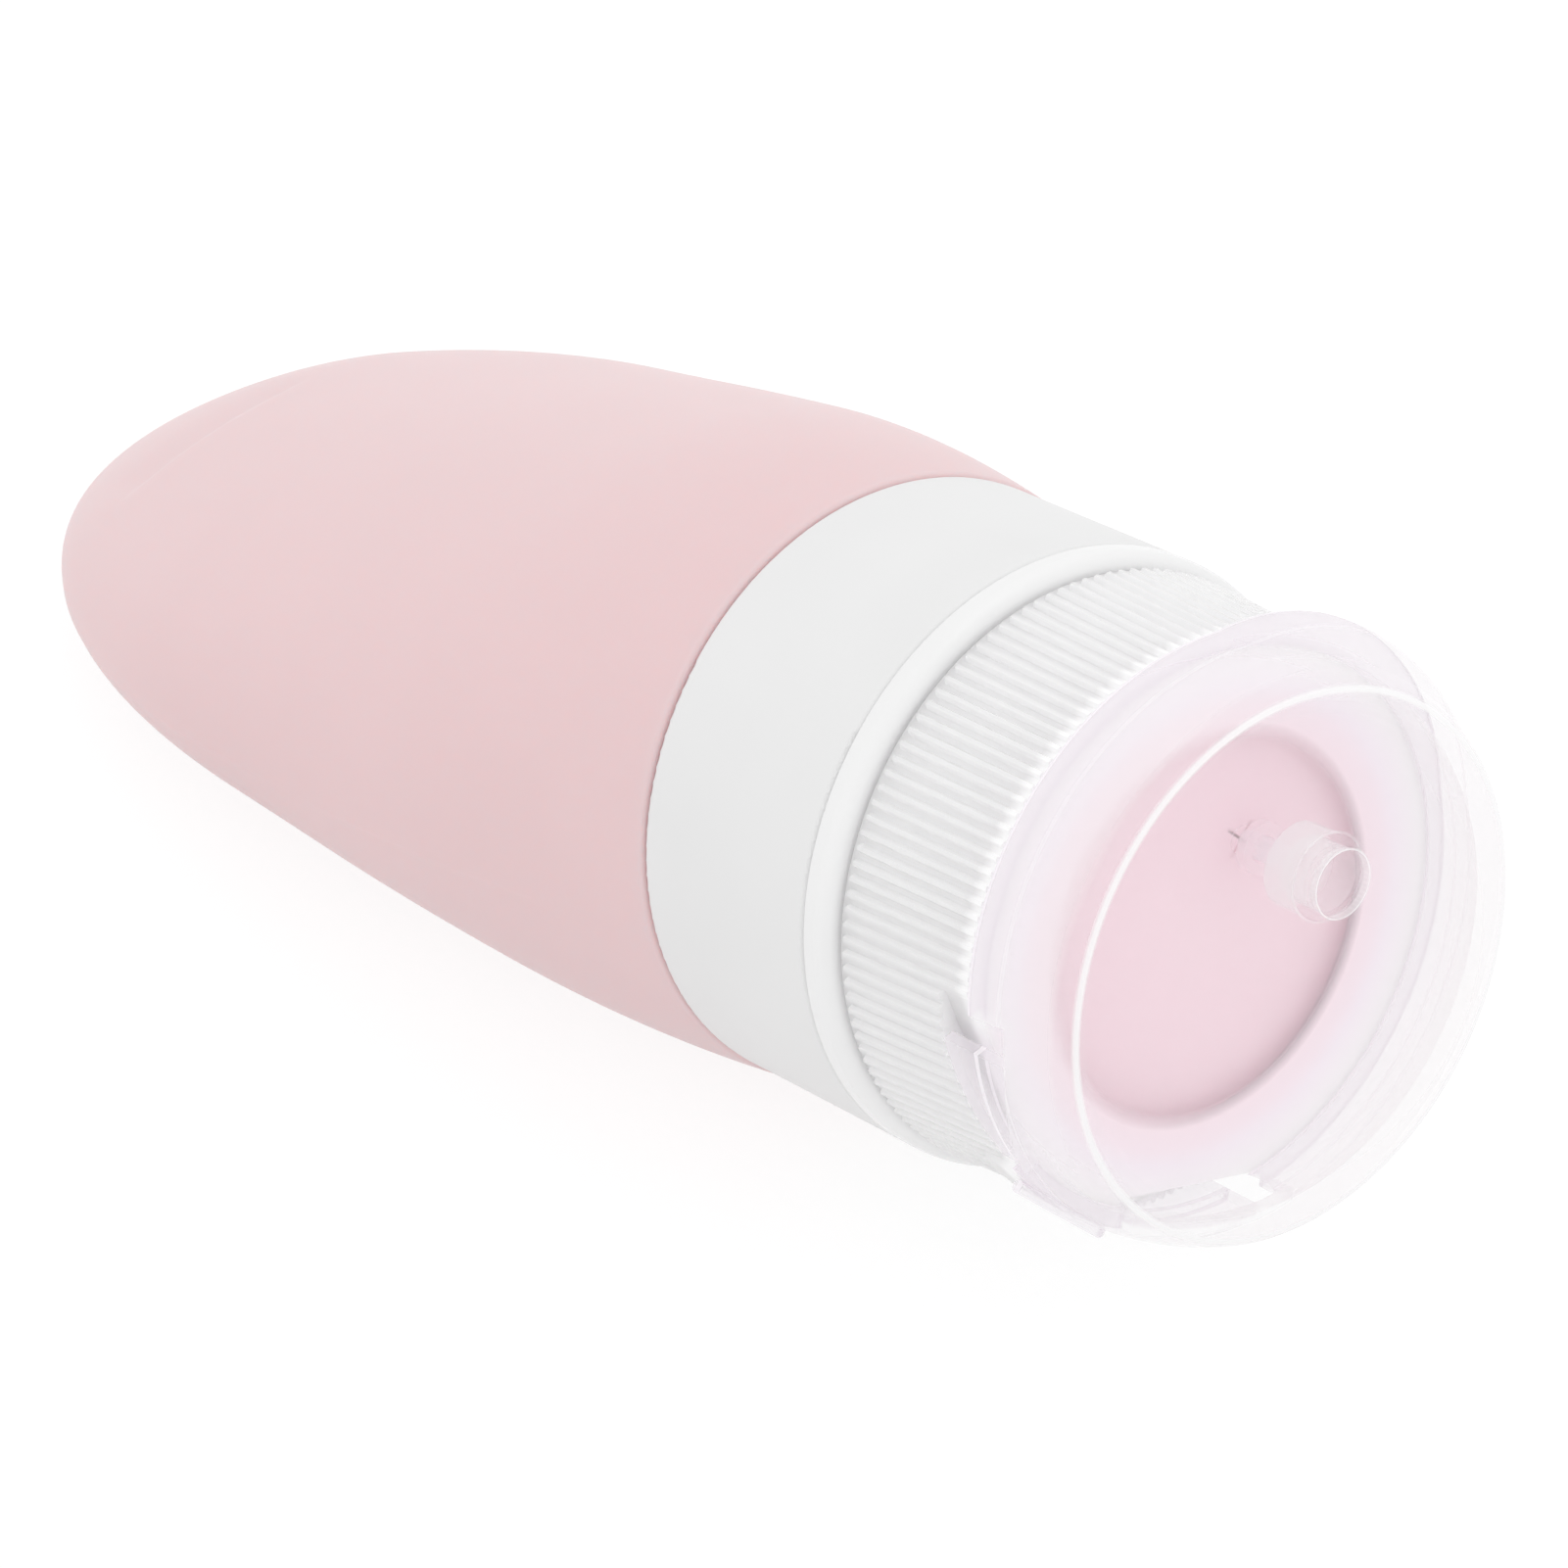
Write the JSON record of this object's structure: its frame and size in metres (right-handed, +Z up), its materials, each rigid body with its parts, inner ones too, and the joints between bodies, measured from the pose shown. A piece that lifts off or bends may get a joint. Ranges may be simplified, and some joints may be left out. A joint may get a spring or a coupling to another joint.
{
  "type": "travel squeeze bottle",
  "caption": "Soft flat-ended squeeze bottle for toiletries, lying on its side, with a stiff neck collar and a ribbed screw cap that has a clear snap-open lid.",
  "frame": {"origin": "on the surface that the bottle lies on, under the middle of the whole object's box", "axes": "+X towards the cap, +Z up with the bottle lying on its flat side, +Y to the left seen from the tail"},
  "size_m": [0.1427, 0.0542, 0.0544],
  "materials": {
    "silicone": "satin, translucent pale pink",
    "seal_silicone": "satin, pale pink",
    "collar_plastic": "fine matt, white",
    "insert_plastic": "glossy, white",
    "cap_plastic": "frosted, half clear",
    "lid_plastic": "clear, glossy"
  },
  "bodies": {
    "bottle": {"bottle_body": "silicone", "neck_insert": "insert_plastic", "collar": "collar_plastic"},
    "cap_seal": {"seal_disc": "seal_silicone"},
    "cap": {"cap_base": "cap_plastic", "hinge_web": "cap_plastic"},
    "lid": {"flip_lid": "lid_plastic"},
    "spring_left": {"hinge_spring_left": "lid_plastic"},
    "spring_right": {"hinge_spring_right": "lid_plastic"}
  },
  "joints": [
    {"name": "cap_lift", "type": "slide", "parent": "bottle", "child": "cap_seal", "axis": [0.9757, 0, 0.2192], "range_m": [0, 0.00424]},
    {"name": "cap_turn", "type": "hinge", "parent": "cap_seal", "child": "cap", "pos_m": [0.02595, 0, 0.02536], "axis": [0.9757, 0, 0.2192], "range_deg": [0, 360]},
    {"name": "lid_flip", "type": "hinge", "parent": "cap", "child": "lid", "pos_m": [0.06174, -0.01736, 0.02023], "axis": [0.1762, 0.5948, -0.7843], "range_deg": [0, 145]},
    {"name": "spring_left_fold", "type": "hinge", "parent": "cap", "child": "spring_left", "pos_m": [0.06174, -0.01736, 0.02023], "axis": [0.1762, 0.5948, -0.7843], "range_deg": [0, 72.6]},
    {"name": "spring_right_fold", "type": "hinge", "parent": "cap", "child": "spring_right", "pos_m": [0.06174, -0.01736, 0.02023], "axis": [0.1762, 0.5948, -0.7843], "range_deg": [0, 72.6]}
  ],
  "couplings": [
    {"joint": "cap_lift", "follows": "cap_turn", "m_per_rad": 0.0006737},
    {"joint": "spring_left_fold", "follows": "lid_flip", "ratio": 0.5},
    {"joint": "spring_right_fold", "follows": "lid_flip", "ratio": 0.5}
  ]
}
